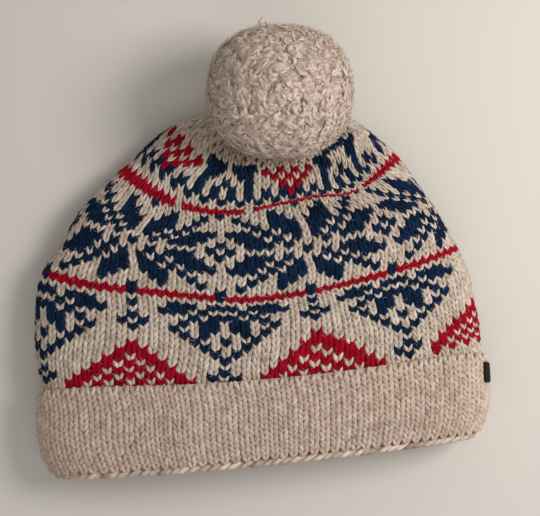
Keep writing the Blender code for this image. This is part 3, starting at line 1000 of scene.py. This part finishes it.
def tangent_to(way, lean):
    """The part of a direction that lies along the ball, as a unit vector."""
    return unit_vectors(lean - (lean * way).sum(-1, keepdims=True) * way)


def combed(way):
    """Direction in which the wool of a place lies: three sine waves over the ball, one an axis."""
    x, y, z = np.moveaxis(way, -1, 0)
    lie = (np.sin(5.0 * y + 2.0 * x) + 0.6, np.sin(6.0 * x - 3.0 * z), np.sin(5.0 * z + 4.0 * y))
    return np.stack(lie, -1)


def ball_path(way, out, slide, lean):
    """Paths over the ball: out by a share of its radii, then along a lean by millimetres."""
    path = np.array(POMPOM_CENTRE) + (ball_size(way) * way)[:, None, :] * out[..., None]
    return path + slide[..., None] * lean[:, None, :]


def build_tufts(centres, draw, yarn):
    """Curled yarn ends of the pompom, combed with their clump, in an upper and a lower piece."""
    way = even_ways(TUFTS, draw, 0.02)
    middle, clump = clump_field(way, centres)
    lean = tangent_to(way, combed(middle) + 0.42 * draw.normal(0.0, 1.0, way.shape))
    aside = np.cross(way, lean)
    reach = (TUFT_REACH + CLUMP_DEPTH * clump + 0.004 * draw.normal(0.0, 1.0, TUFTS))[:, None]
    length = (TUFT_LENGTH * draw.uniform(0.7, 1.25, TUFTS))[:, None]
    phase = draw.uniform(0.0, TAU, (TUFTS, 1))
    curl = TUFT_CURL * np.sin(TAU * CURL_TURNS * LEG_STATIONS + phase)
    path = ball_path(way, reach + TUFT_OUT, length * TUFT_ALONG, lean)
    path = path + curl[..., None] * aside[:, None, :]
    up = np.broadcast_to(way[:, None, :], path.shape)
    wide = TUFT_WIDE * TUFT_SHAPE * draw.uniform(0.75, 1.25, (TUFTS, 1))
    # Tone: random, and also darker for yarn ends in the grooves between clumps and in the parting and
    # lighter on the clumps, as painted shade
    tone = 0.52 + 0.05 * draw.normal(0.0, 1.0, TUFTS) + 0.10 * (clump - 0.5)
    top = way[:, 2] > 0
    made = []
    for name, pick in (("pompom_ends_upper", top), ("pompom_ends_lower", ~top)):
        slide = draw.uniform(0.0, 1.0, pick.sum())
        made.append(strands(name, path[pick], up[pick], wide[pick], TUFT_FLATNESS * wide[pick],
                            YARN_SIDES, yarn, LEG_STATIONS, slide, tone[pick]))
    return made


def build_loose_ends(centres, draw, yarn):
    """Fine loose ends that stand out of the pompom's wool."""
    way = even_ways(LOOSE_ENDS, draw, 0.05)
    lean = tangent_to(way, draw.normal(0.0, 1.0, way.shape))
    out = LOOSE_REACH + 0.06 * clump_field(way, centres)[1][:, None]
    out = out + LOOSE_OUT * draw.uniform(0.2, 1.3, (LOOSE_ENDS, 1))
    path = ball_path(way, out, draw.uniform(1.5, 4.5, (LOOSE_ENDS, 1)) * FIBRE_STATIONS, lean)
    up = np.broadcast_to(way[:, None, :], path.shape)
    wide = FIBRE_SHAPE * draw.uniform(0.07, 0.14, (LOOSE_ENDS, 1))
    slide = draw.uniform(0.0, 1.0, LOOSE_ENDS)
    return strands("pompom_loose_ends", path, up, wide, wide, FIBRE_SIDES, yarn, FIBRE_STATIONS,
                   slide, draw.normal(0.55, 0.08, LOOSE_ENDS))


def build_stray_end(yarn):
    """The one yarn end that curls out past the pompom's far side."""
    path = np.array(STRAY_END)[None]
    up = np.broadcast_to([0.0, 0.0, 1.0], path.shape)
    wide = np.array([STRAY_WIDE])
    stations = np.linspace(0.0, 1.0, len(STRAY_END))
    return strands("pompom_stray_end", path, up, wide, 0.8 * wide, 8, yarn, stations,
                   np.zeros(1), np.full(1, 0.55))


def build_pompom_core(centres, yarn):
    """Round core under the yarn ends: the ball's own surface, standing out where a clump does."""
    level = np.sin(0.5 * np.pi * np.linspace(-0.99, 0.99, 100))[:, None]
    turns = round_turns(180)
    around = np.sqrt(1.0 - level**2)
    way = np.stack(np.broadcast_arrays(around * np.cos(turns), around * np.sin(turns), level), -1)
    size = CORE_REACH + CLUMP_DEPTH * clump_field(way, centres)[1][..., None]
    return closed_rings("pompom_core", np.array(POMPOM_CENTRE) + size * ball_size(way) * way, yarn)


def build_pompom(yarn):
    """Curled yarn ends over a round core, with fine loose ends standing out of them."""
    draw = np.random.default_rng(POMPOM_SEED)
    centres = even_ways(CLUMPS, draw, 0.03)
    return [*build_tufts(centres, draw, yarn), build_loose_ends(centres, draw, yarn),
            build_stray_end(yarn), build_pompom_core(centres, yarn)]


def build_tab(tape):
    """Folded tape round the cuff's edge: a closed flat section carried round the turn."""
    turns = np.radians(np.linspace(*TAB_TURN, 60))[:, None]
    angle = TAU * (np.arange(28) + 0.5) / 28
    proud = TAB_SEAT + 0.5 * TAB_THICK * (1.0 + squarish(np.sin(angle), 0.6))
    part = np.mean(TAB_LENGTH) + 0.5 * np.ptp(TAB_LENGTH) * squarish(np.cos(angle), 0.25)
    rings = cuff_place(part, turns) + proud[:, None] * cuff_face_normal(part, turns)
    return closed_rings("side_tape", rings[:, ::-1], tape)


def dress(pieces, node):
    """Each piece rides on the hat and takes the place of a node, which is hidden; its finish is the
    material in its own slot.
    """
    for piece in pieces:
        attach(piece, "root")
        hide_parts(node)


cream = wool("cream_worsted_wool", "#948272", "#e3d4c6")
navy = wool("navy_worsted_wool", "#010a1a", "#132c4b", haze=0.03)
red = wool("red_worsted_wool", "#68000c", "#ad0826", haze=0.01)
plain = wool("cream_cuff_wool", "#9c8676", "#ddcabb", fleck=0.35)
# Wrong side of the knit: cream wool made darker than the yarn, so that it shows as painted shade in the
# gaps between the legs
shade_darkened_backing = wool("cream_backing_wool_painted_shade", "#5d4d40", "#a39180", purl=9.0)
loose = wool("cream_pompom_wool", "#baa698", "#d8c6b9", haze=0.60, fleck=0.14)
tape = woven_tape("black_woven_tape", "#090706", "#241f1b")

dress(build_crown_stitches((cream, navy, red)), "crown")
dress(build_crown_fuzz((cream, navy, red)), "crown")
dress([build_crown_wall(shade_darkened_backing)], "crown")
dress(build_cuff_stitches(plain), "cuff")
dress([build_cuff_wall(plain)], "cuff")
dress(build_ridge(plain), "edge_ridge")
dress(build_pompom(loose), "pompom")
dress([build_tab(tape)], "side_tab")

# Camera straight above, at arm's length; at SCALE_HEIGHT a pixel of the view is PIXEL_MM wide
CAMERA_HEIGHT = 600.0
VIEW_WIDTH = 540
PIXEL_MM = 0.5
SCALE_HEIGHT = 25.0
SENSOR_WIDTH = 36.0

camera_data = bpy.data.cameras.new("camera")
camera_data.sensor_width = SENSOR_WIDTH
camera_data.lens = SENSOR_WIDTH * (CAMERA_HEIGHT - SCALE_HEIGHT) / (VIEW_WIDTH * PIXEL_MM)
camera_data.clip_start, camera_data.clip_end = 0.01, 10.0
camera = bpy.data.objects.new("camera", camera_data)
camera.location = Vector((*(FRAME_SHIFT[:2] * MM), CAMERA_HEIGHT * MM))
bpy.context.scene.collection.objects.link(camera)
bpy.context.scene.camera = camera

# Plain floor, six metres wide
floor = bpy.data.objects.new("floor", bpy.data.meshes.new("floor"))
floor.data.from_pydata([(-3, -3, 0), (3, -3, 0), (3, 3, 0), (-3, 3, 0)], [], [(0, 1, 2, 3)])
bpy.context.scene.collection.objects.link(floor)
paper = bpy.data.materials.new("pale_floor")
paper.use_nodes = True
set_inputs(paper.node_tree.nodes["Principled BSDF"], {"Base Color": to_linear("#cdc8c0"), "Roughness": 0.9})
floor.data.materials.append(paper)


def add_light(name, place, power, size, colour):
    """A square soft light that looks at the hat."""
    data = bpy.data.lights.new(name, "AREA")
    data.energy, data.size, data.color = power, size, colour
    item = bpy.data.objects.new(name, data)
    item.location = place
    item.rotation_euler = (-Vector(place)).to_track_quat("-Z", "Y").to_euler()
    bpy.context.scene.collection.objects.link(item)


add_light("key", (0.42, 0.12, 0.48), 3.0, 0.24, (1.0, 0.975, 0.95))
add_light("fill", (0.1, -1.0, 1.0), 3.4, 1.4, (0.97, 0.98, 1.0))
world = bpy.data.worlds.new("room")
world.use_nodes = True
set_inputs(world.node_tree.nodes["Background"], {"Color": (1.0, 0.98, 0.95, 1.0), "Strength": 0.43})
bpy.context.scene.world = world
bpy.context.scene.view_settings.view_transform = "Standard"
